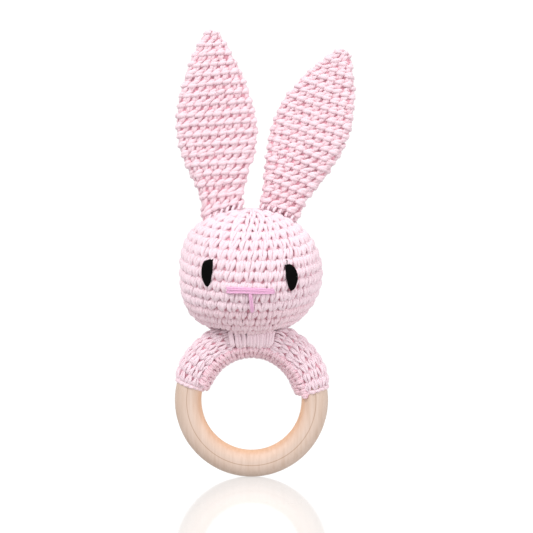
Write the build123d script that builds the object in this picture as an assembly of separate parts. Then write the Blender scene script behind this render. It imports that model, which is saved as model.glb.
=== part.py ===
"""Crochet rabbit rattle on a wooden teething ring: the solids of every piece, in millimetres.

The ring stands in the XZ plane with its centre at the origin, +Z is up and the rabbit's face looks
along -Y. A crocheted sleeve is wrapped round the ring's upper half, a stuffed crochet head with a
rattle capsule in it is sewn onto the sleeve, and two flat crochet ears are sewn onto the head.
"Left" is the -X side.
"""

from build123d import *
import math
import os

# ---- driving dimensions --------------------------------------------------------------------------
RING_OUTER_R = 27.5
RING_INNER_R = 18.0
RING_THICK = 9.6
RING_ROUND = 4.3

SLEEVE_GAP = 0.15
SLEEVE_WALL = 2.0
SLEEVE_SEAM_WALL = 2.9
SLEEVE_START_DEG = 9.0
SLEEVE_END_DEG = 166.0
SLEEVE_ROUND = 6.2
SEAM_YARN_R = 0.75
SEAM_SUNK = 0.35
SEAM_BEHIND = 1.6
SEAM_SHORT_DEG = 2.0
NECK_STRAND_R = 0.5
NECK_STRAND_LENGTH = 3.4
NECK_STRAND_Z = 17.5
NECK_STRAND_PITCH = 1.75
NECK_STRANDS = 8
NECK_STRAND_CLEAR = 0.05

HEAD_CENTRE_Z = 45.8
HEAD_R = 25.6
HEAD_HALF_HEIGHT = 23.4
HEAD_WALL = 2.4
LAYER_GAP = 0.1
NOD_AXIS_Z = 22.4
SADDLE_R = 8.0
SADDLE_RING_R = 30.2
SADDLE_LENGTH = 60.0

CASE_R = 11.0
CASE_HALF_DEPTH = 8.0
CASE_WALL = 1.2
CASE_EDGE_ROUND = 2.5
CASE_LIP = 0.6
CASE_LIP_REACH = 1.5
CASE_LIP_CLEAR = 0.05
CASE_CENTRE_Z = 47.0
BEAD_R = 2.4
BEAD_CLEAR = 0.1
BEAD_LANES = ((-3.1, (-5.3, 0.0, 5.3)), (3.1, (-2.7, 2.7)))

EAR_HINGE_X = 11.8
EAR_HINGE_Z = 70.2
EAR_HINGE_TILT_DEG = 24.0
EAR_ROOT_DEPTH = 12.0
EAR_LEFT_LEAN_DEG = 3.4
EAR_RIGHT_LEAN_DEG = 20.8
EAR_LEFT_LENGTH = 62.6
EAR_RIGHT_LENGTH = 59.2
EAR_RIGHT_TWIST_DEG = 12.0
EAR_HALF_THICK = 3.0
EAR_STITCHES = 6
EAR_STITCH_FIRST_X = 4.4
EAR_STITCH_PITCH = 2.5
EAR_STITCH_Y = 4.6
EAR_STITCH_LIFT = 1.1
EAR_STITCH_TILT_DEG = 12.0
EAR_STITCH_R = 0.5
EAR_STITCH_LENGTH = 1.8

THREAD_PROUD = 0.9
THREAD_GAP = 0.02
EYE_HALF_HEIGHT = 5.6
EYE_BULGE = 4.1
EYE_BULGE_Z = 0.4
EYE_CORNER_R = 0.7
LEFT_EYE_PLACE = (-13.3, 45.6, 3.0)
RIGHT_EYE_PLACE = (12.1, 44.2, 6.0)
NOSE_PLACE = (-0.2, 39.8)
NOSE_SIZE = (18.0, 2.8)
NOSE_CORNER_R = 1.0
MOUTH_PLACE = (0.2, 34.9)
MOUTH_SIZE = (1.6, 6.6)
MOUTH_CORNER_R = 0.7

PARTS = "parts"


def save(name, shape):
    """Writes one node."""
    export_step(shape, os.path.join(PARTS, name + ".step"))


# ---- the ring and its sleeve ---------------------------------------------------------------------
def ring_section(inner_r, outer_r, thick, rounding):
    """The ring's section, a rounded rectangle in the XY plane at its radius from the Y axis."""
    middle = (inner_r + outer_r) / 2
    return Pos(middle, 0) * RectangleRounded(outer_r - inner_r, thick, rounding)


def turned(section, start_deg=0.0, end_deg=360.0):
    """A section turned about the ring's axis, from one angle to the other, counted from +X towards +Z."""
    solid = revolve(section, Axis.Y, end_deg - start_deg)
    return Rot(0, -end_deg, 0) * solid


def sleeve_envelope(extra=0.0):
    """What the sleeve fills with the ring inside it, grown by extra all round."""
    return turned(
        ring_section(
            RING_INNER_R - SLEEVE_SEAM_WALL - extra,
            RING_OUTER_R + SLEEVE_WALL + SLEEVE_GAP + extra,
            RING_THICK + 2 * (SLEEVE_WALL + SLEEVE_GAP + extra),
            SLEEVE_ROUND + extra,
        ),
        SLEEVE_START_DEG,
        SLEEVE_END_DEG,
    )


def sleeve_bore():
    """The hollow that the ring runs through."""
    return turned(
        ring_section(
            RING_INNER_R - SLEEVE_GAP,
            RING_OUTER_R + SLEEVE_GAP,
            RING_THICK + 2 * SLEEVE_GAP,
            RING_ROUND + SLEEVE_GAP,
        )
    )


def seam_yarn():
    """The sewing yarn that closes the sleeve along the inner edge of its back half."""
    place_r = RING_INNER_R - SLEEVE_SEAM_WALL + SEAM_SUNK
    return turned(
        Pos(place_r, SEAM_BEHIND) * Circle(SEAM_YARN_R),
        SLEEVE_START_DEG + SEAM_SHORT_DEG,
        SLEEVE_END_DEG - SEAM_SHORT_DEG,
    )


def neck_stitches():
    """Short strands of sewing yarn on the sleeve's front and back, just under the head."""
    y = RING_THICK / 2 + SLEEVE_GAP + SLEEVE_WALL + NECK_STRAND_R + NECK_STRAND_CLEAR
    strand = extrude(Circle(NECK_STRAND_R), NECK_STRAND_LENGTH)
    strands = []
    for side in (-1, 1):
        for n in range(NECK_STRANDS):
            x = (n - (NECK_STRANDS - 1) / 2) * NECK_STRAND_PITCH
            strands.append(Pos(x, side * y, NECK_STRAND_Z) * strand)
    return strands


# ---- the head ------------------------------------------------------------------------------------
def ball(grow=0.0):
    """The head's rounded body, grown by that much: a near-ellipse turned about the upright axis."""
    radius = HEAD_R + grow
    half_height = HEAD_HALF_HEIGHT + grow
    outline = []
    for degrees in range(0, 181, 20):
        angle = math.radians(degrees)
        outline.append((radius * math.sin(angle), -half_height * math.cos(angle)))
    with BuildPart() as part:
        with BuildSketch(Plane.XZ):
            with BuildLine():
                Spline(*outline, tangents=[(1, 0), (-1, 0)])
                Line(outline[-1], outline[0])
            make_face()
        revolve(axis=Axis.Z)
    return Pos(0, 0, HEAD_CENTRE_Z) * part.part


def saddle():
    """The hollow under the head, in which it nods on the sleeve, round about two axes."""
    along_nod_axis = Pos(0, 0, NOD_AXIS_Z) * (Rot(0, 90, 0) * Cylinder(SADDLE_R, SADDLE_LENGTH))
    along_ring_axis = Rot(90, 0, 0) * Cylinder(SADDLE_RING_R, SADDLE_LENGTH)
    return along_nod_axis & along_ring_axis


def rattle_capsule(grow=0.0):
    """The rattle capsule's outer shape: a short drum with rounded edges, lying along Y."""
    drum = Cylinder(CASE_R + grow, 2 * (CASE_HALF_DEPTH + grow))
    drum = fillet(drum.edges().filter_by(GeomType.CIRCLE), CASE_EDGE_ROUND)
    return Pos(0, 0, CASE_CENTRE_Z) * (Rot(90, 0, 0) * drum)


def drum_along_y(radius, to_y, from_y):
    """A plain cylinder on the capsule's axis, from one Y to another."""
    drum = Cylinder(radius, to_y - from_y)
    return Pos(0, (to_y + from_y) / 2, CASE_CENTRE_Z) * (Rot(90, 0, 0) * drum)


def capsule_halves():
    """The capsule's two snapped halves; the front one has the lip that enters the back one."""
    inner_r = CASE_R - CASE_WALL
    lip_r = CASE_R - CASE_LIP
    cavity = drum_along_y(inner_r, CASE_HALF_DEPTH - CASE_WALL, -CASE_HALF_DEPTH + CASE_WALL)
    whole = rattle_capsule() - cavity
    ahead = drum_along_y(2 * CASE_R, 0, -2 * CASE_HALF_DEPTH)
    lip = drum_along_y(lip_r, CASE_LIP_REACH, 0) - drum_along_y(inner_r, CASE_LIP_REACH, 0)
    socket = drum_along_y(lip_r + CASE_LIP_CLEAR, CASE_LIP_REACH + 2 * CASE_LIP_CLEAR, 0)
    front = (whole & ahead) + lip
    back = (whole - ahead) - socket
    return front, back


def bead_places():
    """Where each bead rests and how far it can rise: two rows of lanes, front and back, in the drum."""
    room_r = CASE_R - CASE_WALL - BEAD_R - BEAD_CLEAR
    places = []
    for y, lanes in BEAD_LANES:
        for x in lanes:
            half_travel = math.sqrt(room_r**2 - x**2)
            places.append((x, y, CASE_CENTRE_Z - half_travel, 2 * half_travel))
    return places


# ---- the ears ------------------------------------------------------------------------------------
# Along an ear from its hinge: share of the length, half width, and sideways shift of its middle.
LEFT_EAR = (
    (0.00, 8.0, 0.9),
    (0.12, 9.8, 0.4),
    (0.30, 13.6, 0.3),
    (0.47, 14.9, 0.6),
    (0.64, 13.0, 0.5),
    (0.80, 9.4, 0.2),
    (0.92, 5.6, 0.0),
    (0.98, 3.1, 0.0),
    (1.00, 1.5, 0.0),
)
RIGHT_EAR = (
    (0.00, 7.9, 0.0),
    (0.12, 9.6, -0.6),
    (0.30, 12.6, -1.6),
    (0.47, 14.0, -1.8),
    (0.64, 12.8, -1.4),
    (0.80, 9.6, -0.8),
    (0.92, 5.8, -0.3),
    (0.98, 3.2, 0.0),
    (1.00, 1.6, 0.0),
)


def ear_half_thickness(share):
    """Half the ear's thickness at a share of its length: even, then thinner to the tip."""
    return EAR_HALF_THICK * (1 - 0.5 * max(share, 0) ** 3)


def ear(stations, length, lean_deg, side, twist_deg=0.0):
    """A flattened crochet tube that leans sideways, with a root rounded about the line it is sewn along."""
    root = -EAR_ROOT_DEPTH / length
    rows = [(root, stations[0][1], stations[0][2]), *stations]
    sections = []
    for share, half_width, shift in rows:
        outline = Ellipse(half_width, ear_half_thickness(share))
        sections.append(Pos(shift, 0, share * length) * outline)
    blade = Rot(0, lean_deg, 0) * (Rot(0, 0, twist_deg) * loft(sections))
    below = Pos(0, 0, -length / 2) * Box(2 * length, length, length)
    kept_root = Rot(0, 90, 0) * Cylinder(EAR_HALF_THICK, 3 * length)
    blade -= Rot(0, side * EAR_HINGE_TILT_DEG, 0) * (below - kept_root)
    return Pos(side * EAR_HINGE_X, 0, EAR_HINGE_Z) * blade


def ear_stitches(side):
    """Whip stitches of sewing yarn before and behind the ear's foot, lying on the head."""
    strands = []
    for facing in (-1, 1):
        for n in range(EAR_STITCHES):
            x = side * (EAR_STITCH_FIRST_X + EAR_STITCH_PITCH * n)
            y = facing * EAR_STITCH_Y
            share = 1 - (x / HEAD_R) ** 2 - (y / HEAD_R) ** 2
            z = HEAD_CENTRE_Z + HEAD_HALF_HEIGHT * math.sqrt(share) + EAR_STITCH_LIFT
            lying = Rot(90 - facing * EAR_STITCH_TILT_DEG, 0, 0)
            strands.append(Pos(x, y, z) * (lying * Cylinder(EAR_STITCH_R, EAR_STITCH_LENGTH)))
    return strands


# ---- the embroidered face ------------------------------------------------------------------------
def on_face(outline):
    """A pad of satin stitching: an outline drawn in XZ, laid on the front of the head."""
    column = extrude(Rot(90, 0, 0) * outline, 2 * HEAD_R)
    return (ball(THREAD_PROUD) & column) - ball(THREAD_GAP)


def eye(side, x, z, lean_deg):
    """A half-moon eye: straight towards the nose, curved on its outer side."""
    top, bottom = (0, EYE_HALF_HEIGHT), (0, -EYE_HALF_HEIGHT)
    with BuildSketch() as sketch:
        with BuildLine():
            Line(bottom, top)
            ThreePointArc(top, (side * EYE_BULGE, EYE_BULGE_Z), bottom)
        make_face()
        fillet(sketch.vertices(), EYE_CORNER_R)
    return on_face(Pos(x, z) * (Rot(0, 0, lean_deg) * sketch.sketch))


def main():
    os.makedirs(PARTS, exist_ok=True)

    save("wooden_ring", turned(ring_section(RING_INNER_R, RING_OUTER_R, RING_THICK, RING_ROUND)))
    seam = seam_yarn()
    save("ring_cover", sleeve_envelope() - sleeve_bore() - seam)
    save("cover_seam_yarn", seam - sleeve_bore())
    save("neck_stitches", Compound(children=neck_stitches()))

    hollow = saddle()
    save("head_shell", ball() - ball(-HEAD_WALL) - hollow)
    save("head_stuffing", ball(-HEAD_WALL - LAYER_GAP) - hollow - rattle_capsule(LAYER_GAP))
    front, back = capsule_halves()
    save("rattle_case_front", front)
    save("rattle_case_back", back)
    for n, (x, y, z, travel) in enumerate(bead_places(), 1):
        save(f"rattle_bead_{n}", Pos(x, y, z) * Sphere(BEAD_R))
        print(f"bead {n} can rise {travel:.3f} mm")

    save("ear_left", ear(LEFT_EAR, EAR_LEFT_LENGTH, -EAR_LEFT_LEAN_DEG, -1))
    save("ear_right", ear(RIGHT_EAR, EAR_RIGHT_LENGTH, EAR_RIGHT_LEAN_DEG, 1, EAR_RIGHT_TWIST_DEG))
    save("ear_left_stitches", Compound(children=ear_stitches(-1)))
    save("ear_right_stitches", Compound(children=ear_stitches(1)))

    save("eye_left_thread", eye(-1, *LEFT_EYE_PLACE))
    save("eye_right_thread", eye(1, *RIGHT_EYE_PLACE))
    save("nose_thread", on_face(Pos(*NOSE_PLACE) * RectangleRounded(*NOSE_SIZE, NOSE_CORNER_R)))
    save("mouth_thread", on_face(Pos(*MOUTH_PLACE) * RectangleRounded(*MOUTH_SIZE, MOUTH_CORNER_R)))


main()
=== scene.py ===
"""The looks of the crochet rabbit rattle: yarn stitches over the frame's solids, wood, thread and light.

Work is done in millimetres and written to Blender in metres. X is the viewer's right, -Y is the rabbit's
face, Z is up. A "field" is a function of u (round or along a piece) and v (from row to row) that gives
points in space, and stitches are laid on fields as tubes of yarn.
"""

import math

import bpy
import numpy as np
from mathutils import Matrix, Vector


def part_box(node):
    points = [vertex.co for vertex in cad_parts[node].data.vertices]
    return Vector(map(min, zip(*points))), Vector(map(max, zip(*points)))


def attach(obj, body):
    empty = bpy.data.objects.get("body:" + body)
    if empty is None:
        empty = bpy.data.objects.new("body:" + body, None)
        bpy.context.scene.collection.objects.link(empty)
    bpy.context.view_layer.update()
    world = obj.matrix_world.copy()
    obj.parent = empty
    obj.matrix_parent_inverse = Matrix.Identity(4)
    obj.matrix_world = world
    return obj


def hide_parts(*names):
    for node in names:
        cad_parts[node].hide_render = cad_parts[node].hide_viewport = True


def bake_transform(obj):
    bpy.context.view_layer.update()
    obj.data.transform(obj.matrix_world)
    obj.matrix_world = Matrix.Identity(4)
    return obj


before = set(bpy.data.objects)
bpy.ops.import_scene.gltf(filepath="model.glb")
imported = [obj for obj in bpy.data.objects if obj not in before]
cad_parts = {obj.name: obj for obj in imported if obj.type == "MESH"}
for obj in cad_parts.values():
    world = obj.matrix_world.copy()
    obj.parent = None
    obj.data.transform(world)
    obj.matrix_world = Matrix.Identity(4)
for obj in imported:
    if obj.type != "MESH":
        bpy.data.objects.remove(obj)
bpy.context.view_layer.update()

MM = 0.001
rng = np.random.default_rng(7)

# ---- sizes, read from the frame or chosen, in millimetres --------------------------------------------


def node_box(node):
    """Lowest and highest corner of a CAD node, in millimetres."""
    low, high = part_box(node)
    return np.array(low) / MM, np.array(high) / MM


RING_LOW, RING_HIGH = node_box("wooden_ring")
RING_OUTER = RING_HIGH[0]
RING_WIDTH = 9.5
RING_MID = RING_OUTER - RING_WIDTH / 2
COVER_HIGH = node_box("ring_cover")[1]
HEAD_HIGH = node_box("head_shell")[1]
HEAD_RADIUS = HEAD_HIGH[0]
HEAD_HALF_HEIGHT = 23.4
HEAD_CENTRE = np.array([0.0, 0.0, HEAD_HIGH[2] - HEAD_HALF_HEIGHT])
# The crown's pole leans towards the face, so that the rows dip there. Each row starts a little past the
# one below, in stitches.
HEAD_TILT = math.radians(14)
HEAD_ROWS = 19
HEAD_ROW_SHIFT = 0.18

# A stitch: how far its crest stands above the field, its full width, and its yarn's half width.
CREST = 1.25
STITCH_WIDTH = 3.35
YARN_HALF = 0.84

# How far behind a field its lining lies; the sleeve's lining has an outer and an inner face.
HEAD_LINING_DEPTH = 0.15
EAR_LINING_DEPTH = 0.1
SLEEVE_LINING_DEPTHS = (0.1, 0.65)
FILLING_DEPTH = 0.6

# The sleeve: rows across the ring, with each row's start past the last in stitches, and its ends as turns
# round the ring's axis from the viewer's right. The ends slant by so much over half the sleeve's section,
# and the sleeve's last few millimetres narrow by the taper.
SLEEVE_ROWS = 18
SLEEVE_STITCHES = 13
SLEEVE_ROW_SHIFT = 0.3
SLEEVE_START = math.radians(165.4)
SLEEVE_END = math.radians(9.5)
SLEEVE_END_SLANT = math.radians(2.3)
SLEEVE_LENGTH = 62.0
SLEEVE_HALF_SECTION = 7.5
SLEEVE_TAPER = 1.1
SLEEVE_TAPER_OVER = 2.2

# Two rows along the sleeve's inner edge: stitches in a row, a row's share of the turn round the wood,
# where the first starts, and how far they stand above the other rows.
BAND_ROWS = 2
BAND_STITCHES = 15
BAND_ROW = 25 / 360
BAND_START = 0.02
BAND_LIFT = 0.7

# The strands that bind off each end of the sleeve, and those over its seam: their number, how far each
# reaches both ways from its own middle, in strands, its height at the ends and how much its middle rises.
END_STITCHES = 16
END_REACH = 0.80
END_HEIGHT = -0.55
END_RISE = 0.9
SEAM_STITCHES = 24
SEAM_REACH = 0.75
SEAM_HEIGHT = 0.9
SEAM_RISE = 0.7

# Where the head sits on the sleeve: how far the sleeve's top is from the ring's axis, and how deep the
# hollow is that it needs, each way from the middle.
SADDLE = 30.2
SADDLE_HALF_DEPTH = 8.0

# The ears: rows, how far each starts behind the one below, in stitches, and a stitch's width.
EAR_ROWS = 18
EAR_ROW_SHIFT = 0.22
EAR_STITCH_WIDTH = 3.1

# Half the ear's flat tube's thickness, the share of it that is lost at the tip, and how far its faces swell.
# Then, as shares of the ear's length, where its twist is full and where its rows stop following the head,
# and how far its foot is sunk in there.
EAR_HALF_THICK = 1.75
EAR_THINNING = 0.25
EAR_PUFF = 0.9
EAR_TWIST_FULL = 0.4
EAR_FOOT = 0.16
EAR_SUNK = 0.3


# ---- small helpers -----------------------------------------------------------------------------------
def unit(vectors):
    """Vectors scaled to length one."""
    return vectors / np.maximum(np.linalg.norm(vectors, axis=-1, keepdims=True), 1e-9)


def smooth(stations, t):
    """A smooth curve through (place, value) stations, read at t."""
    places, values = np.array(stations, float).T
    slopes = np.gradient(values, places)
    at = np.clip(np.searchsorted(places, t, side="right") - 1, 0, len(places) - 2)
    step = places[at + 1] - places[at]
    s = np.clip((t - places[at]) / step, 0, 1)
    start = (1 + 2 * s) * (1 - s) ** 2 * values[at] + s * (1 - s) ** 2 * step * slopes[at]
    return start + s**2 * (3 - 2 * s) * values[at + 1] + s**2 * (s - 1) * step * slopes[at + 1]


POLE_GAP = 0.004


def lifted(field, u, v, height, wraps=False):
    """Points above a field, its normals there, and how far one whole u goes there.

    v may wrap round; where it doesn't, it stays off the field's ends, which have no normal.
    """
    eps = 1e-3
    if not wraps:
        v = np.clip(v, POLE_GAP, 1 - POLE_GAP)
    here = field(u, v)
    along = (field(u + eps, v) - field(u - eps, v)) / (2 * eps)
    across = (field(u, v + eps) - field(u, v - eps)) / (2 * eps)
    normal = unit(np.cross(along, across))
    return here + normal * height[..., None], normal, np.linalg.norm(along, axis=-1)


def place_object(name, data):
    """A new object in the scene."""
    obj = bpy.data.objects.new(name, data)
    bpy.context.collection.objects.link(obj)
    return obj


def smooth_object(name, points, faces):
    """A smooth-shaded mesh object from points in millimetres and its faces."""
    mesh = bpy.data.meshes.new(name)
    mesh.from_pydata((points * MM).tolist(), [], faces)
    mesh.polygons.foreach_set("use_smooth", np.ones(len(faces), bool))
    return place_object(name, mesh)


def finish_piece(obj, material, nodes=()):
    """Gives a piece its material and hides the CAD nodes that it stands for."""
    obj.data.materials.append(material)
    if nodes:
        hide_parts(*nodes)
    return obj


# ---- tubes of yarn -----------------------------------------------------------------------------------
PLIES = 3
TWIST_START_SPREAD = 3
DEEPEST = 0.7


def yarn(name, centres, normals, wide, thick, height, around, ply=0.10, turns_per_mm=0.30):
    """One mesh of many strands: centres is (strand, point, xyz), wide and thick are half sizes along each.

    Each strand is a closed tube of so many sides around, with plies twisting round it that swell it by a
    share. The "depth" attribute is 0 deep in the fabric and 1 on its crest, and the "yarn" UVs run along
    and round each strand.
    """
    count, points, _ = centres.shape
    wide = np.broadcast_to(wide, (count, points))
    thick = np.broadcast_to(thick, (count, points))
    height = np.broadcast_to(height, (count, points))
    tangent = unit(np.gradient(centres, axis=1))
    side = unit(np.cross(tangent, normals))
    up = np.cross(side, tangent)
    steps = np.linalg.norm(np.diff(centres, axis=1), axis=-1)
    length = np.concatenate([np.zeros((count, 1)), np.cumsum(steps, axis=1)], axis=1)
    length += rng.uniform(0, TWIST_START_SPREAD, (count, 1))
    angle = np.arange(around) * 2 * math.pi / around
    twist = PLIES * (angle + 2 * math.pi * turns_per_mm * length[..., None])
    swell = 1 + ply * np.cos(twist)
    out = np.sin(angle) * thick[..., None] * swell
    sideways = np.cos(angle) * wide[..., None] * swell
    verts = centres[:, :, None] + side[:, :, None] * sideways[..., None] + up[:, :, None] * out[..., None]
    # The yarn materials paint light from this depth: painted shade deep in the fabric, a painted highlight on
    # its crests.
    depth = np.clip((height[..., None] + out + DEEPEST) / (CREST + DEEPEST), 0, 1)

    first = (np.arange(count)[:, None, None] * points + np.arange(points - 1)[None, :, None]) * around
    now = np.arange(around)[None, None, :]
    nxt = (now + 1) % around
    quads = np.stack([first + now, first + nxt, first + around + nxt, first + around + now], axis=-1)
    start = np.arange(count)[:, None] * points * around + np.arange(around)
    caps = np.concatenate([start[:, ::-1], start + (points - 1) * around])
    loops = np.concatenate([quads.ravel(), caps.ravel()]).astype(np.int32)
    n_quads = quads.size // 4
    starts = np.concatenate([np.arange(n_quads) * 4, quads.size + np.arange(len(caps)) * around])

    mesh = bpy.data.meshes.new(name)
    mesh.vertices.add(count * points * around)
    mesh.vertices.foreach_set("co", (verts * MM).astype(np.float32).ravel())
    mesh.loops.add(len(loops))
    mesh.loops.foreach_set("vertex_index", loops)
    mesh.polygons.add(len(starts))
    mesh.polygons.foreach_set("loop_start", starts.astype(np.int32))
    mesh.update(calc_edges=True)
    mesh.polygons.foreach_set("use_smooth", np.ones(len(starts), bool))
    mesh.attributes.new("depth", "FLOAT", "POINT").data.foreach_set("value", depth.astype(np.float32).ravel())

    uv = np.zeros((len(loops), 2), np.float32)
    low_len = np.broadcast_to(length[:, :-1, None], quads.shape[:3])
    high_len = np.broadcast_to(length[:, 1:, None], quads.shape[:3])
    uv[: quads.size, 0] = np.stack([low_len, low_len, high_len, high_len], axis=-1).ravel()
    turn = np.broadcast_to(now / around, quads.shape[:3])
    step = 1 / around
    uv[: quads.size, 1] = np.stack([turn, turn + step, turn + step, turn], axis=-1).ravel()
    layer = mesh.uv_layers.new(name="yarn")
    layer.data.foreach_set("uv", uv.ravel())
    return place_object(name, mesh)


# Each strand of a stitch, as points of: how far up the row, how far aside in stitch widths, height above the
# fabric's middle in millimetres, and the yarn's half width and half thickness there as shares.
RISING_LEG = (
    (-0.20, 0.05, -1.10, 0.55, 0.50),
    (-0.05, 0.09, -0.62, 0.74, 0.64),
    (0.11, 0.13, -0.12, 0.92, 0.82),
    (0.30, 0.19, 0.24, 1.05, 0.96),
    (0.50, 0.245, 0.44, 1.12, 1.02),
    (0.70, 0.27, 0.44, 1.12, 1.02),
    (0.88, 0.26, 0.14, 1.04, 0.94),
    (1.01, 0.23, -0.38, 0.84, 0.80),
    (1.10, 0.18, -1.00, 0.58, 0.50),
)
LEFT_STEM = (
    (-0.22, -0.25, -0.95, 0.66, 0.55),
    (-0.12, -0.22, -0.50, 0.78, 0.68),
    (0.00, -0.19, -0.16, 0.86, 0.78),
    (0.12, -0.16, 0.02, 0.90, 0.82),
    (0.24, -0.12, 0.08, 0.90, 0.82),
    (0.36, -0.08, 0.02, 0.88, 0.80),
    (0.47, -0.04, -0.15, 0.84, 0.76),
    (0.56, -0.01, -0.45, 0.78, 0.68),
    (0.64, 0.01, -0.90, 0.66, 0.55),
)
RIGHT_STEM = (
    (-0.22, -0.05, -0.95, 0.66, 0.55),
    (-0.12, -0.01, -0.50, 0.78, 0.68),
    (0.00, 0.04, -0.16, 0.86, 0.78),
    (0.12, 0.09, 0.02, 0.90, 0.82),
    (0.24, 0.14, 0.08, 0.90, 0.82),
    (0.36, 0.19, 0.02, 0.88, 0.80),
    (0.47, 0.24, -0.15, 0.84, 0.76),
    (0.56, 0.28, -0.45, 0.78, 0.68),
    (0.64, 0.31, -0.90, 0.66, 0.55),
)
RIDGE_LOBE = (
    (0.44, -0.61, -0.85, 0.60, 0.55),
    (0.48, -0.50, -0.26, 1.00, 0.84),
    (0.54, -0.35, 0.18, 1.32, 1.02),
    (0.60, -0.18, 0.44, 1.50, 1.12),
    (0.67, 0.00, 0.52, 1.56, 1.16),
    (0.74, 0.18, 0.44, 1.50, 1.12),
    (0.80, 0.35, 0.18, 1.32, 1.02),
    (0.86, 0.50, -0.26, 1.00, 0.84),
    (0.90, 0.61, -0.85, 0.60, 0.55),
)

# Each of two plies: how far it rises and falls, and its sizes, as shares of the whole strand's.
PLY_RISE = 0.14
PLY_WIDE = 0.66
PLY_THICK = 0.84


def mirrored(strand):
    """The same strand leaning the other way."""
    return tuple((up, -aside, height, wide, thick) for up, aside, height, wide, thick in strand)


def plied(strand, apart=(0.0, 0.12)):
    """The same strand as two thinner plies, apart up and aside, that twist half a turn round each other."""
    pair = []
    for start in (0.2 * math.pi, 1.2 * math.pi):
        ply = []
        for n, (up, aside, height, wide, thick) in enumerate(strand):
            angle = start + math.pi * n / (len(strand) - 1)
            up += apart[0] * wide * math.cos(angle)
            aside += apart[1] * wide * math.cos(angle)
            height += PLY_RISE * thick * math.sin(angle)
            ply.append((up, aside, height, PLY_WIDE * wide, PLY_THICK * thick))
        pair.append(tuple(ply))
    return tuple(pair)


def smoothed(strand):
    """The same strand rising and swelling less."""
    calmer = []
    for up, aside, height, wide, thick in strand:
        calmer.append((up, aside, 0.6 * height + 0.1, wide**0.6, thick**0.7))
    return tuple(calmer)


SMOOTH_LEG = smoothed(RISING_LEG)
V_STITCH = (*plied(mirrored(RISING_LEG)), *plied(RISING_LEG))
SMOOTH_V = (*plied(mirrored(SMOOTH_LEG)), *plied(SMOOTH_LEG))
RIDGE_STITCH = (LEFT_STEM, RIGHT_STEM, *plied(RIDGE_LOBE, apart=(0.085, 0.0)))

# How much single strands differ, as standard deviations: up, aside and lean in shares of a stitch, lift in
# millimetres, and size as a share.
UP_SPREAD = 0.05
ASIDE_SPREAD = 0.04
LEAN_SPREAD = 0.10
LIFT_SPREAD = 0.09
SIZE_SPREAD = 0.06

# How far a crowded or stretched stitch's yarn may narrow and widen, thin and thicken, as shares.
WIDTH_LIMITS = (0.62, 1.15)
THICKNESS_LIMITS = (0.80, 1.05)


def stitches(name, field, rows, pattern, skew, keep=None, wraps=False):
    """Lays rows of stitches on a field and returns their yarn as one piece.

    rows holds (v where the row starts, row height in v, stitches in the row, shift of the row in stitches),
    skew is how far a stitch leans over its row, and keep says which strands stay, from their middles.
    """
    u_all, v_all, shares, lifts = [], [], [], []
    for v0, dv, count, shift in rows:
        places = np.arange(count)[:, None] + 0.5 + shift
        for strand in np.array(pattern):
            up = strand[:, 0] + rng.normal(0, UP_SPREAD, (count, 1))
            lean = skew + rng.normal(0, LEAN_SPREAD, (count, 1))
            aside = strand[:, 1] + lean * (strand[:, 0] - 0.5) + rng.normal(0, ASIDE_SPREAD, (count, 1))
            u_all.append((places + aside) / count)
            v_all.append(v0 + dv * up)
            lifts.append(strand[:, 2] + rng.normal(0, LIFT_SPREAD, (count, 1)))
            sizes = np.broadcast_to(strand[:, 3:], (count, len(strand), 2))
            shares.append(np.concatenate([sizes, np.full((count, len(strand), 1), 1 / count)], axis=-1))
    u, v, height = np.concatenate(u_all), np.concatenate(v_all), np.concatenate(lifts)
    shares = np.concatenate(shares)
    centres, normals, reach = lifted(field, u, v, height, wraps)
    if keep is not None:
        kept = keep(centres[:, centres.shape[1] // 2])
        centres, normals, reach, height, shares = (a[kept] for a in (centres, normals, reach, height, shares))
    room = np.clip(reach * shares[..., 2] / STITCH_WIDTH, *WIDTH_LIMITS)
    room = room * rng.normal(1, SIZE_SPREAD, (len(reach), 1))
    wide = YARN_HALF * room * shares[..., 0]
    thick = YARN_HALF * np.clip(room, *THICKNESS_LIMITS) * shares[..., 1]
    return yarn(name, centres, normals, wide, thick, height, around=9)


def lining(name, field, depth, around=96, along=64, reshape=None):
    """A closed surface behind the stitches, at a depth under a field; reshape may move its points."""
    u, v = np.meshgrid(np.arange(around) / around, np.linspace(0.0, 1.0, along))
    points, _, _ = lifted(field, u, v, np.full(u.shape, -depth))
    if reshape is not None:
        points = reshape(points)
    verts = points.reshape(-1, 3)
    ends = np.array([points[0].mean(axis=0), points[-1].mean(axis=0)])
    verts = np.concatenate([verts, ends])
    faces = []
    for row in range(along - 1):
        for n in range(around):
            nxt = (n + 1) % around
            low = row * around
            faces.append((low + n, low + nxt, low + around + nxt, low + around + n))
    bottom = around * along
    for n in range(around):
        nxt = (n + 1) % around
        faces.append((nxt, n, bottom))
        faces.append((bottom - around + n, bottom - around + nxt, bottom + 1))
    return smooth_object(name, verts, faces)


THREAD_END = 0.55
THREAD_HEIGHT = 0.7
THREAD_TURNS_PER_MM = 0.5


def threads(name, paths, half, ply=0.09):
    """Sewing strands along paths of points, each with its own outward normals, thinner at both ends."""
    centres = np.array([p for p, _ in paths])
    normals = np.array([n for _, n in paths])
    points = centres.shape[1]
    taper = np.ones(points)
    taper[0] = taper[-1] = THREAD_END
    half = np.asarray(half) * taper
    height = np.full(points, THREAD_HEIGHT)
    return yarn(name, centres, normals, half, half, height, 10, ply, THREAD_TURNS_PER_MM)


# ---- fields ------------------------------------------------------------------------------------------
# The cheek on the viewer's left is fuller than an ellipsoid's: the power of its rounder outline, how much
# wider it is, the most that this may add, and the share of the radius over which it comes in.
CHEEK_POWER = 2.5
CHEEK_WIDER = 1.016
CHEEK_LIMIT = 1.14
CHEEK_FADE = 0.3


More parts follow.
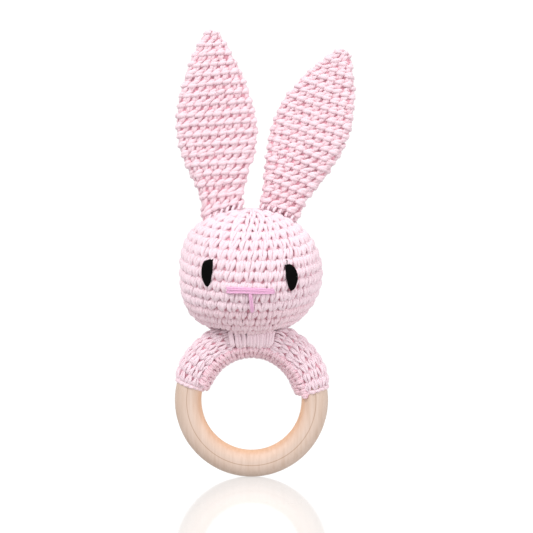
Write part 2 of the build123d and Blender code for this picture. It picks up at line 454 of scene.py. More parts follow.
def head_field(u, v):
    """The head: u turns from the face towards the viewer's right, v rises from the chin to the crown."""
    turn = 2 * math.pi * u
    polar = math.pi * v
    x = np.sin(polar) * np.sin(turn)
    y = -np.sin(polar) * np.cos(turn)
    z = -np.cos(polar)
    tilted_y = y * math.cos(HEAD_TILT) - z * math.sin(HEAD_TILT)
    tilted_z = y * math.sin(HEAD_TILT) + z * math.cos(HEAD_TILT)
    rounder = (1 - np.abs(tilted_z) ** CHEEK_POWER).clip(1e-4) ** (1 / CHEEK_POWER)
    fuller = rounder / np.sqrt((1 - tilted_z**2).clip(1e-4))
    x = x * (1 + (CHEEK_WIDER * fuller.clip(1, CHEEK_LIMIT) - 1) * np.clip(-x / CHEEK_FADE, 0, 1))
    wide = HEAD_RADIUS - CREST
    tall = HEAD_HALF_HEIGHT - CREST
    return HEAD_CENTRE + np.stack([x * wide, tilted_y * wide, tilted_z * tall], axis=-1)


def head_top(x, y):
    """Height of the head's upper surface over a place."""
    share = np.clip(1 - (x**2 + y**2) / HEAD_RADIUS**2, 0.04, 1)
    return HEAD_CENTRE[2] + HEAD_HALF_HEIGHT * np.sqrt(share)


def flat_tube(u, half_width, half_thick):
    """A flattened tube's section, u going evenly round it from the middle of its front."""
    flat = np.maximum(half_width - half_thick, 0)
    bend = math.pi * half_thick
    s = (u % 1.0) * (4 * flat + 2 * bend)
    right = (s - flat) / half_thick
    left = (s - 3 * flat - bend) / half_thick
    zones = [s < flat, s < flat + bend, s < 3 * flat + bend, s < 3 * flat + 2 * bend]
    x = np.select(
        zones,
        [s, flat + half_thick * np.sin(right), 2 * flat + bend - s, -flat - half_thick * np.sin(left)],
        s - 4 * flat - 2 * bend,
    )
    y = np.select(
        zones,
        [-half_thick, -half_thick * np.cos(right), half_thick, half_thick * np.cos(left)],
        -half_thick,
    )
    return x, y


def ear_field(foot, tip, twist, bow, widths):
    """An ear: u turns round its flattened tube, v rises from the head to the tip.

    twist grows over the ear's lower part, bow bends its middle sideways, and widths are half widths by v.
    """
    foot, tip = np.array(foot), np.array(tip)
    axis = unit(tip - foot)
    aside = np.array([axis[2], 0.0, -axis[0]])

    def section(u, v):
        half_width = np.maximum(smooth(widths, v) - CREST, 0.35)
        half_thick = np.minimum(EAR_HALF_THICK * (1 - EAR_THINNING * v**3), half_width * 0.98)
        x, y = flat_tube(u, half_width, half_thick)
        puff = EAR_PUFF * np.clip(1 - (x / half_width) ** 2, 0, 1) * np.minimum(half_width / 10, 1)
        y = y + np.sign(y) * puff * np.abs(y) / half_thick
        turn = twist * np.minimum(v / EAR_TWIST_FULL, 1)
        across = x * np.cos(turn) + y * np.sin(turn)
        forward = y * np.cos(turn) - x * np.sin(turn)
        middle = foot + (tip - foot) * v[..., None] + aside * (bow * np.sin(math.pi * v))[..., None]
        point = middle + aside * across[..., None]
        point[..., 1] += forward
        return point

    def field(u, v):
        point = section(u, v)
        floor_points = section(u, np.zeros_like(v))
        rest = head_top(floor_points[..., 0], floor_points[..., 1]) - EAR_SUNK
        ease = np.clip(1 - v / EAR_FOOT, 0, 1) ** 1.5
        point[..., 2] += (rest - floor_points[..., 2]) * ease
        return point

    return field


def sleeve_point(turn, share, radius):
    """A place on the sleeve: turn goes round the wood, inside and then front, share from right to left."""
    to_end = np.minimum(share, 1 - share) * SLEEVE_LENGTH
    radius = radius - SLEEVE_TAPER * np.exp(-np.clip(to_end, 0, None) / SLEEVE_TAPER_OVER)
    reach = RING_MID - radius * np.cos(turn)
    out = (reach - RING_MID) / SLEEVE_HALF_SECTION
    right = SLEEVE_END + SLEEVE_END_SLANT * out
    left = SLEEVE_START - SLEEVE_END_SLANT * out
    angle = right + (left - right) * share
    return np.stack([reach * np.cos(angle), -radius * np.sin(turn), reach * np.sin(angle)], axis=-1)


def sleeve_across(radius):
    """The sleeve for rows that lie across the ring: u turns round the wood, v runs from right to left."""
    return lambda u, v: sleeve_point(2 * math.pi * u, v, radius)


def sleeve_along(radius):
    """The sleeve for rows that lie along the ring: u runs from left to right, v turns round the wood."""
    return lambda u, v: sleeve_point(2 * math.pi * v, 1 - u, radius)


# ---- materials ---------------------------------------------------------------------------------------
def new_material(name):
    """A node material, its node tree and its shader."""
    material = bpy.data.materials.new(name)
    material.use_nodes = True
    return material, material.node_tree, material.node_tree.nodes["Principled BSDF"]


def fill_in(node, inputs):
    """Gives some of a node's inputs their values."""
    for socket, value in inputs.items():
        node.inputs[socket].default_value = value


def add_node(tree, kind, inputs=None, **settings):
    """A new shader node, with some of its settings and inputs filled in."""
    node = tree.nodes.new("ShaderNode" + kind)
    for setting, value in settings.items():
        setattr(node, setting, value)
    fill_in(node, inputs or {})
    return node


def at_place(tree, kind, place, inputs):
    """A texture or mapping node that reads a place."""
    node = add_node(tree, kind, inputs)
    tree.links.new(place, node.inputs["Vector"])
    return node


def object_place(tree):
    """Where a point is in its object's own space, in metres."""
    return add_node(tree, "TexCoord").outputs["Object"]


def ramp(tree, factor, stops):
    """The colour that a factor gives on a ramp of (place, colour) stops."""
    node = add_node(tree, "ValToRGB")
    while len(node.color_ramp.elements) < len(stops):
        node.color_ramp.elements.new(0.5)
    for element, (place, colour) in zip(node.color_ramp.elements, stops):
        element.position = place
        element.color = (*colour, 1)
    tree.links.new(factor, node.inputs["Fac"])
    return node.outputs["Color"]


def multiplied(tree, colour, other, share):
    """A colour multiplied by a share of another."""
    mix = add_node(tree, "Mix", data_type="RGBA", blend_type="MULTIPLY")
    mix.inputs["Factor"].default_value = share
    tree.links.new(colour, mix.inputs["A"])
    tree.links.new(other, mix.inputs["B"])
    return mix.outputs["Result"]


def add_relief(tree, shader, height, strength, millimetres):
    """Bumps on a shader from a height between 0 and 1."""
    bump = add_node(tree, "Bump", {"Strength": strength, "Distance": millimetres * MM})
    tree.links.new(height, bump.inputs["Height"])
    tree.links.new(bump.outputs["Normal"], shader.inputs["Normal"])


WHITE = (1, 1, 1)
BLOTCH_REACH = 0.24
STREAK_PINK = (0.80, 0.60, 0.66)


def yarn_material(name, deep, middle, crest, roughness=0.9, sheen=0.35, specular=0.25):
    """Cotton yarn with twisted plies and fine fibres, and painted light by depth: painted shade deeper in the
    holes, a painted highlight paler on the crests.
    """
    material, tree, shader = new_material(name)
    place = object_place(tree)
    depth = add_node(tree, "Attribute", attribute_name="depth")
    blotch = at_place(tree, "TexNoise", place, {"Scale": 260, "Detail": 3})
    lowered = add_node(tree, "Math", {1: -BLOTCH_REACH / 2}, operation="ADD")
    shifted = add_node(tree, "Math", {1: BLOTCH_REACH}, operation="MULTIPLY_ADD")
    tree.links.new(depth.outputs["Fac"], lowered.inputs[0])
    tree.links.new(blotch.outputs["Fac"], shifted.inputs[0])
    tree.links.new(lowered.outputs[0], shifted.inputs[2])
    # deep is painted shade for the holes and crest a painted highlight; the blotch noise shifts where they
    # fall at random.
    colours = ramp(tree, shifted.outputs[0], [(0.0, deep), (0.42, middle), (0.80, crest)])

    uv = add_node(tree, "UVMap", uv_map="yarn")
    slant = {"Rotation": (0, 0, math.radians(-52)), "Scale": (2.2, 9.0, 1)}
    along = at_place(tree, "Mapping", uv.outputs["UV"], slant)
    waves = {"Scale": 0.5, "Distortion": 2.0, "Detail": 2}
    fibres = at_place(tree, "TexWave", along.outputs["Vector"], waves).outputs["Fac"]
    streaks = ramp(tree, fibres, [(0.15, STREAK_PINK), (0.6, WHITE)])
    tree.links.new(multiplied(tree, colours, streaks, 0.36), shader.inputs["Base Color"])

    fuzz = at_place(tree, "TexNoise", place, {"Scale": 3800})
    height = add_node(tree, "Math", {1: 0.35}, operation="MULTIPLY_ADD")
    tree.links.new(fuzz.outputs["Fac"], height.inputs[0])
    tree.links.new(fibres, height.inputs[2])
    add_relief(tree, shader, height.outputs[0], 0.5, 0.12)
    fill_in(shader, {"Roughness": roughness, "Specular IOR Level": specular})
    fill_in(shader, {"Sheen Weight": sheen, "Sheen Roughness": 0.5})
    return material


def lining_material(name, colour):
    """The shaded fabric seen through the holes: a knotted, mottled surface."""
    material, tree, shader = new_material(name)
    knots = at_place(tree, "TexVoronoi", object_place(tree), {"Scale": 700}).outputs["Distance"]
    dark = tuple(0.55 * c for c in colour)
    tree.links.new(ramp(tree, knots, [(0.1, dark), (0.7, colour)]), shader.inputs["Base Color"])
    add_relief(tree, shader, knots, 0.6, 0.2)
    fill_in(shader, {"Roughness": 0.95, "Specular IOR Level": 0.1})
    return material


BEECH_WARM = (0.72, 0.44, 0.27)
BEECH_INNER = (0.68, 0.495, 0.39)
BEECH_PALE = (0.65, 0.505, 0.425)
BEECH_OUTER = (0.60, 0.465, 0.385)
BEECH_GRAIN = (0.86, 0.80, 0.74)
BEECH_RIDGE_SHADE = (0.62, 0.50, 0.40)


def wood_material():
    """Pale beech: warmer towards the hole, with fine grain and a line of painted shade where the round-overs
    meet.
    """
    material, tree, shader = new_material("beech")
    place = object_place(tree)
    flat = add_node(tree, "VectorMath", {1: (1, 0, 1)}, operation="MULTIPLY")
    reach = add_node(tree, "VectorMath", operation="LENGTH")
    section = {"From Min": (RING_OUTER - RING_WIDTH) * MM, "From Max": RING_OUTER * MM}
    span = add_node(tree, "MapRange", section)
    tree.links.new(place, flat.inputs[0])
    tree.links.new(flat.outputs["Vector"], reach.inputs[0])
    tree.links.new(reach.outputs["Value"], span.inputs["Value"])
    across = span.outputs["Result"]
    body = ramp(tree, across, [(0.0, BEECH_WARM), (0.16, BEECH_INNER), (0.4, BEECH_PALE), (1.0, BEECH_OUTER)])

    stretched = at_place(tree, "Mapping", place, {"Scale": (1000, 400, 60)})
    fine = {"Scale": 1.0, "Detail": 5, "Roughness": 0.6}
    grain = at_place(tree, "TexNoise", stretched.outputs["Vector"], fine).outputs["Fac"]
    streaks = ramp(tree, grain, [(0.3, BEECH_GRAIN), (0.62, WHITE)])
    # A thin darker band: painted shade on the ridge where the round-overs meet.
    line = ramp(tree, across, [(0.510, WHITE), (0.526, BEECH_RIDGE_SHADE), (0.536, BEECH_RIDGE_SHADE), (0.552, WHITE)])
    grained = multiplied(tree, body, streaks, 0.8)
    tree.links.new(multiplied(tree, grained, line, 0.8), shader.inputs["Base Color"])
    add_relief(tree, shader, grain, 0.12, 0.1)
    fill_in(shader, {"Roughness": 0.5, "Specular IOR Level": 0.35})
    return material


def plastic_material(name, colour, roughness):
    """Moulded plastic with a faint mottle."""
    material, tree, shader = new_material(name)
    mottle = at_place(tree, "TexNoise", object_place(tree), {"Scale": 900}).outputs["Fac"]
    darker = tuple(0.93 * c for c in colour)
    tree.links.new(ramp(tree, mottle, [(0.3, darker), (0.7, colour)]), shader.inputs["Base Color"])
    fill_in(shader, {"Roughness": roughness})
    return material


# Each yarn's three colours: painted shade deep in the holes, the yarn's own colour, and a painted highlight
# on the crests.
PINK_HOLE_SHADE = (0.80, 0.42, 0.49)
PINK_MIDDLE = (0.87, 0.60, 0.66)
PINK_CREST_HIGHLIGHT = (0.90, 0.70, 0.755)
pink = yarn_material("pink_cotton", PINK_HOLE_SHADE, PINK_MIDDLE, PINK_CREST_HIGHLIGHT)
# A paler copy of the pink yarn: painted light for the lit crown, cheeks and sleeve.
lit_pink = yarn_material("lit_pink_cotton", (0.84, 0.50, 0.57), (0.89, 0.68, 0.74), (0.915, 0.74, 0.80))
# A deeper copy of the pink yarn: painted shade for the band along the sleeve's inner edge.
shaded_pink = yarn_material("shaded_pink_cotton", (0.68, 0.25, 0.33), (0.83, 0.49, 0.57), (0.88, 0.64, 0.70))
sewing = yarn_material("pink_sewing_yarn", PINK_HOLE_SHADE, (0.84, 0.53, 0.61), (0.90, 0.72, 0.78))
shade = lining_material("pink_shade", (0.80, 0.40, 0.48))
# The black thread's paler crests are a painted highlight: lines of sheen along the top of each strand.
black = yarn_material(
    "black_thread", (0.001,) * 3, (0.001,) * 3, (0.006,) * 3, roughness=0.7, sheen=0.0, specular=0.0
)
rose = yarn_material(
    "rose_thread", (0.70, 0.22, 0.48), (0.88, 0.40, 0.66), (0.92, 0.52, 0.76), roughness=0.5, sheen=0.2
)


# ---- the wooden ring and its sleeve ------------------------------------------------------------------
def paint_node(node, material):
    """Gives a CAD node that stays visible its procedural material."""
    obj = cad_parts[node]
    for slot in obj.material_slots:
        slot.material = material


def end_stitches(along):
    """Strands that bind off the sleeve's two ends, as points with their normals."""
    share = np.linspace(-1, 1, 7)
    hump = np.cos(share * math.pi / 2)
    strands = []
    for end, outward in ((0.0, -1), (1.0, 1)):
        for n in range(END_STITCHES):
            v = (n + 0.5 + END_REACH * share) / END_STITCHES
            u = end + outward * (0.006 * hump + 0.006 * share)
            centre, normal, _ = lifted(along, u, v, END_HEIGHT + END_RISE * hump, wraps=True)
            strands.append((centre, normal))
    return strands


def seam_stitches(along):
    """Slanting strands over the sleeve's seam, each lapping over the next."""
    share = np.linspace(-1, 1, 7)
    hump = np.cos(share * math.pi / 2)
    strands = []
    for n in range(SEAM_STITCHES):
        u = np.clip((n + 0.5 + SEAM_REACH * share) / SEAM_STITCHES, 0.012, 0.988)
        v = -0.020 + 0.03 * share
        centre, normal, _ = lifted(along, u, v, SEAM_HEIGHT + SEAM_RISE * hump, wraps=True)
        strands.append((centre, normal))
    return strands


def make_sleeve():
    """Rows across the ring, two more along its inner edge, a closed lining, finished ends and the seam."""
    radius = COVER_HIGH[1] - CREST
    along = sleeve_along(radius)
    rows = []
    for n in range(SLEEVE_ROWS):
        rows.append((n / SLEEVE_ROWS, 1 / SLEEVE_ROWS, SLEEVE_STITCHES, SLEEVE_ROW_SHIFT * n))
    cover = stitches("ring_cover_stitches", sleeve_across(radius), rows, SMOOTH_V, skew=0.1)
    # The sleeve takes the paler copy of the yarn, painted lighter where it is lit.
    finish_piece(cover, lit_pink, ["ring_cover"])

    rows = [(BAND_START + n * BAND_ROW, BAND_ROW, BAND_STITCHES, 0.5 * n) for n in range(BAND_ROWS)]
    raised = sleeve_along(radius + BAND_LIFT)
    band = stitches("ring_cover_band", raised, rows, V_STITCH, skew=0.1, wraps=True)
    # The band's deeper pink is painted shade.
    finish_piece(band, shaded_pink)

    strands = end_stitches(along)
    edge = threads("ring_cover_edges", strands, rng.normal(0.72, 0.06, (len(strands), 1)))
    finish_piece(edge, pink)

    seam = threads("cover_seam", seam_stitches(along), 0.7)
    finish_piece(seam, sewing, ["cover_seam_yarn"])

    outer, inner = (radius - depth for depth in SLEEVE_LINING_DEPTHS)
    inside = sleeve_lining(outer, inner)
    finish_piece(inside, shade)
    return [cover, band, edge, seam, inside]


def sleeve_lining(outer, inner):
    """A thin closed tube round the wood behind the sleeve's stitches."""
    along, around = 64, 40
    turns = np.arange(around) * 2 * math.pi / around
    shares = np.linspace(0.99, 0.01, along)
    turns, shares = np.broadcast_arrays(turns[None, :], shares[:, None])
    verts = [sleeve_point(turns, shares, radius).reshape(-1, 3) for radius in (outer, inner)]
    faces = []
    skin = along * around
    for n in range(around):
        nxt = (n + 1) % around
        for row in range(along - 1):
            a, b = row * around + n, row * around + nxt
            faces.append((a, b, b + around, a + around))
            faces.append((skin + a, skin + a + around, skin + b + around, skin + b))
        last = skin - around
        faces.append((nxt, n, skin + n, skin + nxt))
        faces.append((last + n, last + nxt, skin + last + nxt, skin + last + n))
    return smooth_object("ring_cover_lining", np.concatenate(verts), faces)


# ---- the head ----------------------------------------------------------------------------------------
def outside_saddle(points):
    """Which places on the head aren't inside the sleeve."""
    half_depth, top = 6.3, SADDLE - 0.6
    reach = np.hypot(points[:, 0], points[:, 2])
    return ~((np.abs(points[:, 1]) < half_depth) & (reach < top))


def over_saddle(points):
    """Lifts the head's lining clear of the sleeve."""
    x, y, z = points[..., 0], points[..., 1], points[..., 2]
    ridge = np.sqrt(np.clip(SADDLE**2 - x**2, 0, None))
    inside = (np.abs(y) < SADDLE_HALF_DEPTH) & (z < ridge)
    points[..., 2] = np.where(inside, ridge, z)
    return points


def head_rows(first, last):
    """Rows of the head from one to before another, each with a number of stitches that three divides."""
    rows = []
    for n in range(first, last):
        v = (n + 0.5) / HEAD_ROWS
        round_mm = 2 * math.pi * (HEAD_RADIUS - CREST) * math.sin(math.pi * v)
        count = max(6, 3 * round(round_mm / STITCH_WIDTH / 3))
        rows.append((n / HEAD_ROWS, 1 / HEAD_ROWS, count, -0.5 + HEAD_ROW_SHIFT * n))
    return rows


def make_head():
    """The head's stitches in three bands of rows, and the stuffed lining behind them."""
    pieces = []
    # The chin keeps the darker pink yarn as painted shade under the head; the cheeks and crown take its paler
    # copy, painted light.
    bands = (
        ("head_chin", 0, 7, V_STITCH, pink),
        ("head_cheeks", 7, 11, V_STITCH, lit_pink),
        ("head_crown", 11, HEAD_ROWS, SMOOTH_V, lit_pink),
    )
    for name, first, last, pattern, material in bands:
        band = stitches(name, head_field, head_rows(first, last), pattern, skew=0.22, keep=outside_saddle)
        pieces.append(finish_piece(band, material))
    inside = lining("head_lining", head_field, HEAD_LINING_DEPTH, reshape=over_saddle)
    finish_piece(inside, shade, ["head_shell"])
    return pieces, inside


def on_face(x, z, lift):
    """Points on the front of the head at places seen from the front, lifted off it, and normals there."""
    wide, tall = HEAD_RADIUS, HEAD_HALF_HEIGHT
    rise = z - HEAD_CENTRE[2]
    y = -wide * np.sqrt(1 - (x / wide) ** 2 - (rise / tall) ** 2)
    point = np.stack([x, y, z], axis=-1)
    normal = unit(np.stack([x / wide**2, y / wide**2, rise / tall**2], axis=-1))
    return point + normal * np.reshape(lift, (-1, 1)), normal


def face_thread(corners, lift, points=14):
    """A strand over the face, smooth through corners (x, z), dipping into the fabric at both ends."""
    corners = np.array(corners, float)
    t = np.linspace(0, 1, points)
    stations = np.linspace(0, 1, len(corners))
    x = smooth(np.column_stack([stations, corners[:, 0]]), t)
    z = smooth(np.column_stack([stations, corners[:, 1]]), t)
    dip = np.clip(np.minimum(t, 1 - t) / 0.12, 0, 1)
    return on_face(x, z, lift - 0.9 * (1 - dip) ** 2)


# The eyes' middles, across and up, and their edges from the top to the bottom, aside and up from there:
# first the edge towards the nose, then the outer one. Then the threads' number, half width and lift, with
# what the eye's middle rises by, and the stray thread over the right eye.
LEFT_EYE_AT = (-14.9, 45.7)
LEFT_EYE = (
    ((1.55, 4.9), (1.6, 1.5), (1.0, -2.2), (0.1, -4.9)),
    ((-0.6, 4.5), (-1.6, 2.0), (-1.65, -1.4), (-0.3, -4.9)),
)
RIGHT_EYE_AT = (14.0, 44.1)
RIGHT_EYE = (
    ((-1.9, 4.5), (-1.75, 1.2), (-1.1, -2.4), (0.0, -4.6)),
    ((-0.6, 4.6), (1.3, 2.4), (1.75, -0.8), (0.5, -4.5)),
)
EYE_STRANDS = 9
EYE_THREAD = 0.33
EYE_LIFT = 0.25
EYE_CROWN = 0.25
STRAY_THREAD = 0.15
STRAY_LIFT = 0.7
EYE_STRAY = ((-1.8, 3.9), (-1.9, 4.9), (-1.75, 5.9))

# The nose's strands: where each bends, across, and how high its two ends are. They lie a pitch apart,
# and have their own half width, as the mouth's have.
NOSE_ACROSS = (-8.8, -3.0, 3.0, 8.5)
NOSE_ENDS = ((40.7, 39.9), (40.2, 39.4), (39.5, 39.2), (39.0, 38.8))
NOSE_MIDDLE = 39.7
NOSE_PITCH = 0.5
NOSE_THREAD = 0.31
MOUTH_THREAD = 0.34

# The mouth's strands: the corners of each, across and up, and its lift off the face.
MOUTH_STRANDS = (
    (((-0.5, 39.2), (-0.1, 35.4), (0.4, 31.7)), 0.35),
    (((-0.1, 39.2), (0.5, 35.6), (0.7, 31.8)), 0.3),
)


def make_eye(name, node, middle, edges, stray=None):
    """A satin-stitched eye: strands side by side from its inner to its outer edge, and maybe a stray one."""
    inner, outer = (np.array(edge) for edge in edges)
    paths = []
    for share in np.linspace(0, 1, EYE_STRANDS):
        corners = inner + (outer - inner) * share + middle
        crown = EYE_CROWN * math.sin(math.pi * share)
        paths.append(face_thread(corners, EYE_LIFT + crown))
    halves = [EYE_THREAD] * len(paths)
    if stray is not None:
        paths.append(face_thread(np.array(stray) + middle, STRAY_LIFT))
        halves.append(STRAY_THREAD)
    eye = threads(name, paths, np.array(halves)[:, None], ply=0.12)
    return finish_piece(eye, black, [node])


def make_nose():
    """The nose's level bar of strands, one above the other."""
    bar = []
    for n, (left, right) in enumerate(NOSE_ENDS):
        middle = NOSE_MIDDLE - NOSE_PITCH * (n - 1.5)
        lift = 0.3 + 0.12 * (n % 2)
        heights = (left, middle + 0.1, middle - 0.1, right)
        bar.append(face_thread(list(zip(NOSE_ACROSS, heights)), lift, points=22))
    nose = threads("nose_bar", bar, NOSE_THREAD, ply=0.12)
    return finish_piece(nose, rose, ["nose_thread"])


def make_mouth():
    """The upright stitch under the nose."""
    drop = [face_thread(corners, lift, points=12) for corners, lift in MOUTH_STRANDS]
    mouth = threads("mouth_stitch", drop, MOUTH_THREAD, ply=0.12)
    return finish_piece(mouth, rose, ["mouth_thread"])


def make_face():
    """Eyes, nose and mouth, in thread."""
    return [
        make_eye("eye_left", "eye_left_thread", LEFT_EYE_AT, LEFT_EYE),
        make_eye("eye_right", "eye_right_thread", RIGHT_EYE_AT, RIGHT_EYE, EYE_STRAY),
        make_nose(),
        make_mouth(),
    ]


def make_stuffing():
    """The head's fibre filling: a lumpy ball with a hollow for the sleeve below."""

    def shrunk(u, v):
        lumps = 0.5 * np.sin(14 * math.pi * u) * np.sin(9 * math.pi * v) * np.sin(math.pi * v)
        point = head_field(u, v) - HEAD_CENTRE
        return HEAD_CENTRE + point * (1 - (1.6 + lumps[..., None]) / HEAD_RADIUS)

    filling = lining("head_filling", shrunk, FILLING_DEPTH, around=72, along=40, reshape=over_saddle)
    material = lining_material("white_fibre", (0.85, 0.85, 0.84))
    return finish_piece(filling, material, ["head_stuffing"])


# ---- the ears ----------------------------------------------------------------------------------------
# Each ear's half width at places from its foot, 0, to its tip, 1.
LEFT_WIDTHS = (
    (0.0, 7.8), (0.08, 8.3), (0.18, 10.3), (0.31, 13.6), (0.45, 14.9), (0.58, 14.0),
    (0.71, 11.6), (0.84, 8.2), (0.93, 5.3), (0.98, 3.2), (1.0, 1.3),
)
RIGHT_WIDTHS = (
    (0.0, 7.9), (0.08, 8.4), (0.18, 10.2), (0.32, 12.7), (0.47, 14.4), (0.60, 14.1),
    (0.74, 11.4), (0.86, 8.0), (0.95, 4.9), (0.985, 3.0), (1.0, 1.3),
)
EARS = {
    "left": {
        "foot": (-10.2, 0, 68.6),
        "tip": (-14.6, 0, 132.6),
        "twist": 0.0,
        "bow": -0.4,
        "widths": LEFT_WIDTHS,
    },
    "right": {
        "foot": (9.6, 0, 68.6),
        "tip": (33.2, 0, 125.4),
        "twist": math.radians(14),
        "bow": -0.2,
        "widths": RIGHT_WIDTHS,
    },
}


def ear_rows(widths):
    """Rows of an ear from the head to the tip, each with its number of stitches."""
    rows = []
    for n in range(EAR_ROWS):
        v = (n + 0.5) / EAR_ROWS
        half_width = float(smooth(widths, np.array(v))) - CREST
        round_mm = 4 * max(half_width - EAR_HALF_THICK, 0) + 2 * math.pi * EAR_HALF_THICK
        count = max(5, round(round_mm / EAR_STITCH_WIDTH))
        rows.append((n / EAR_ROWS, 1 / EAR_ROWS, count, -0.25 - EAR_ROW_SHIFT * n))
    return rows


def make_ear(side, foot, tip, twist, bow, widths):
    """One ear's stitches and its soft lining."""
    field = ear_field(foot, tip, twist, bow, widths)
    band = stitches(f"ear_{side}_crochet", field, ear_rows(widths), RIDGE_STITCH, skew=0.12)
    finish_piece(band, pink)
    inside = lining(f"ear_{side}_lining", field, EAR_LINING_DEPTH, around=72, along=48)
    finish_piece(inside, shade, [f"ear_{side}"])
    return [band, inside]


# ---- sewing ------------------------------------------------------------------------------------------
EAR_SEAM_STITCHES = 6
EAR_SEAM_FIRST = 4.2
EAR_SEAM_PITCH = 2.1

# The neck's strands, before and behind: their number and pitch, their lower and upper ends, how far the
# sleeve's surface that they lie on is from the wood's middle, and how much they differ in place.
NECK_STRANDS = 19
NECK_PITCH = 0.76
NECK_LOW = 19.3
NECK_HIGH = 25.0
NECK_REACH = 7.1
NECK_SPREAD = 0.16


def make_ear_seam(side, sign):
    """Whip stitches that hold an ear's foot, half on the head and half on the ear."""
    share = np.linspace(-1, 1, 8)
    hump = np.cos(share * math.pi / 2)
    paths = []
    for facing in (-1, 1):
        for n in range(EAR_SEAM_STITCHES):
            x = sign * (EAR_SEAM_FIRST + EAR_SEAM_PITCH * n) + 0.5 * share
            y = facing * (3.6 - 1.5 * share)
            z = head_top(x, y) - 0.2 + 1.4 * (share + 1) / 2 + 0.5 * hump
            normal = unit(np.stack([0 * x, np.full_like(x, facing * 1.0), np.full_like(x, 0.8)], axis=-1))
            paths.append((np.stack([x, y, z], axis=-1), normal))
    seam = threads(f"ear_{side}_seam", paths, 0.5)
    return finish_piece(seam, sewing, [f"ear_{side}_stitches"])


def make_neck():
    """Strands that sew the head down to the sleeve, before and behind, lying on the sleeve."""
    t = np.linspace(0, 1, 10)
    paths = []
    for facing in (-1, 1):
        for n in range(NECK_STRANDS):
            low = NECK_LOW + rng.normal(0, 0.4)
            z = low + (NECK_HIGH - low) * t
            surface = np.sqrt(NECK_REACH**2 - np.clip(RING_MID - z, 0, None) ** 2)
            y = facing * (surface + 0.1 + rng.normal(0, NECK_SPREAD))
            y = y - facing * 0.9 * (1 - np.clip(t / 0.2, 0, 1)) ** 2
            x = (n - NECK_STRANDS // 2) * NECK_PITCH * (1 + 0.10 * t)
            x = x + rng.normal(0, NECK_SPREAD) + rng.normal(0, 0.35) * t
            normal = np.stack([0 * z, facing + 0 * z, (z - RING_MID) / NECK_REACH], axis=-1)
            paths.append((np.stack([x, y, z], axis=-1), unit(normal)))
    neck = threads("neck_strands", paths, rng.normal(0.63, 0.06, (len(paths), 1)))
    return finish_piece(neck, sewing, ["neck_stitches"])


# ---- everything together -----------------------------------------------------------------------------
def metres(*mm):
    """A place in metres."""
    return tuple(value * MM for value in mm)


def bend_at_neck(obj):
    """Bakes a piece's placement into its mesh and leaves it on no body."""
    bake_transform(obj)


def bend_at_foot(obj):
    """Bakes an ear piece's placement into its mesh and leaves it on no body."""
    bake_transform(obj)


paint_node("wooden_ring", wood_material())
white_plastic = plastic_material("white_plastic", (0.80, 0.80, 0.78), 0.45)
red_plastic = plastic_material("red_plastic", (0.62, 0.06, 0.05), 0.25)
for half in ("front", "back"):
    paint_node(f"rattle_case_{half}", white_plastic)
for number in range(1, 6):
    paint_node(f"rattle_bead_{number}", red_plastic)

for piece in make_sleeve():
    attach(piece, "sleeve")
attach(make_neck(), "sleeve")

(chin, cheeks, crown), head_inside = make_head()
bend_at_neck(chin)
bend_at_neck(head_inside)
for piece in (cheeks, crown, *make_face(), make_ear_seam("left", -1), make_ear_seam("right", 1)):
    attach(piece, "head")

for side, shape in EARS.items():
    for piece in make_ear(side, **shape):
        bend_at_foot(piece)

bend_at_neck(make_stuffing())


# ---- floor, light and camera -------------------------------------------------------------------------
# The room's light from above and from below, the plain wall that the camera and mirrored rays see, and
# the glow that keeps the floor white.
ROOM_ABOVE = 1.0
ROOM_BELOW = 0.54
WALL = 1.05
FLOOR_GLOW = 0.51
FLOOR_SIZE = 0.40
FLOOR_GAP = 0.05

# Lamps: name, place and width in metres, and power in watts. All are aimed at the head.
LAMPS = (
    ("key", (-0.30, -0.45, 0.60), 0.30, 3.2),
    ("fill", (0.55, -0.45, 0.20), 0.40, 1.6),
)
AIM_HEIGHT = 50

# What the camera frames, in millimetres: the view's width at the object, and its middle across and up.
VIEW_WIDTH = 191.6
VIEW_MIDDLE = (5.4, 47.9)


def make_floor():
    """A plain pale floor with a faint gloss under the ring."""
    bpy.ops.mesh.primitive_plane_add(size=FLOOR_SIZE, location=metres(0, 0, RING_LOW[2] - FLOOR_GAP))
    floor = bpy.context.object
    floor.name = "floor"
    material, tree, shader = new_material("pale_floor")
    mottle = at_place(tree, "TexNoise", object_place(tree), {"Scale": 3}).outputs["Fac"]
    tree.links.new(ramp(tree, mottle, [(0.3, (0.20,) * 3), (0.7, (0.22,) * 3)]), shader.inputs["Base Color"])
    fill_in(shader, {"Roughness": 0.08, "Specular IOR Level": 0.3})
    fill_in(shader, {"Emission Color": (*WHITE, 1), "Emission Strength": FLOOR_GLOW})
    floor.data.materials.append(material)


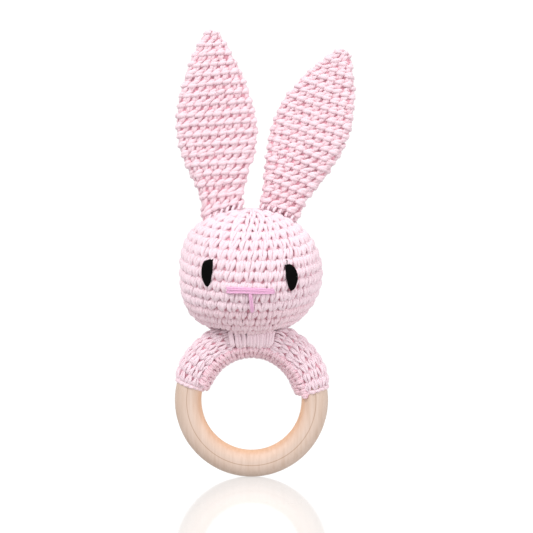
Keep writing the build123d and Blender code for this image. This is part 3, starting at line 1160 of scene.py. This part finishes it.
def area_light(name, place, size, power, aim):
    """A soft square lamp aimed at a place."""
    data = bpy.data.lights.new(name, "AREA")
    data.size = size
    data.energy = power
    lamp = place_object(name, data)
    lamp.location = place
    lamp.rotation_euler = (aim - lamp.location).to_track_quat("-Z", "Y").to_euler()


def make_room():
    """A white room: soft light that is dimmer from below, and plain white where the camera looks."""
    world = bpy.data.worlds.new("studio")
    bpy.context.scene.world = world
    world.use_nodes = True
    tree = world.node_tree
    place = add_node(tree, "TexCoord")
    height = add_node(tree, "SeparateXYZ")
    span = {"From Min": -0.4, "From Max": 0.6, "To Min": ROOM_BELOW, "To Max": ROOM_ABOVE}
    strength = add_node(tree, "MapRange", span)
    room = tree.nodes["Background"]
    fill_in(room, {"Color": (*WHITE, 1)})
    wall = add_node(tree, "Background", {"Strength": WALL, "Color": (*WHITE, 1)})
    rays = add_node(tree, "LightPath")
    seen = add_node(tree, "Math", operation="MAXIMUM")
    choice = add_node(tree, "MixShader")
    for start, end in (
        (place.outputs["Generated"], height.inputs["Vector"]),
        (height.outputs["Z"], strength.inputs["Value"]),
        (strength.outputs["Result"], room.inputs["Strength"]),
        (rays.outputs["Is Camera Ray"], seen.inputs[0]),
        (rays.outputs["Is Glossy Ray"], seen.inputs[1]),
        (seen.outputs[0], choice.inputs["Fac"]),
        (room.outputs["Background"], choice.inputs[1]),
        (wall.outputs["Background"], choice.inputs[2]),
        (choice.outputs["Shader"], tree.nodes["World Output"].inputs["Surface"]),
    ):
        tree.links.new(start, end)


def make_lights():
    """The room, a key lamp from the upper left and a softer fill."""
    make_room()
    aim = Vector(metres(0, 0, AIM_HEIGHT))
    for lamp in LAMPS:
        area_light(*lamp, aim)
    bpy.context.scene.view_settings.view_transform = "Standard"


def make_camera():
    """A long lens level with the object, as the photograph is framed."""
    data = bpy.data.cameras.new("camera")
    data.lens = 100
    data.sensor_width = 36
    camera = place_object("camera", data)
    distance = VIEW_WIDTH * data.lens / data.sensor_width
    camera.location = metres(VIEW_MIDDLE[0], -distance, VIEW_MIDDLE[1])
    camera.rotation_euler = (math.radians(90), 0, 0)
    bpy.context.scene.camera = camera


make_floor()
make_lights()
make_camera()
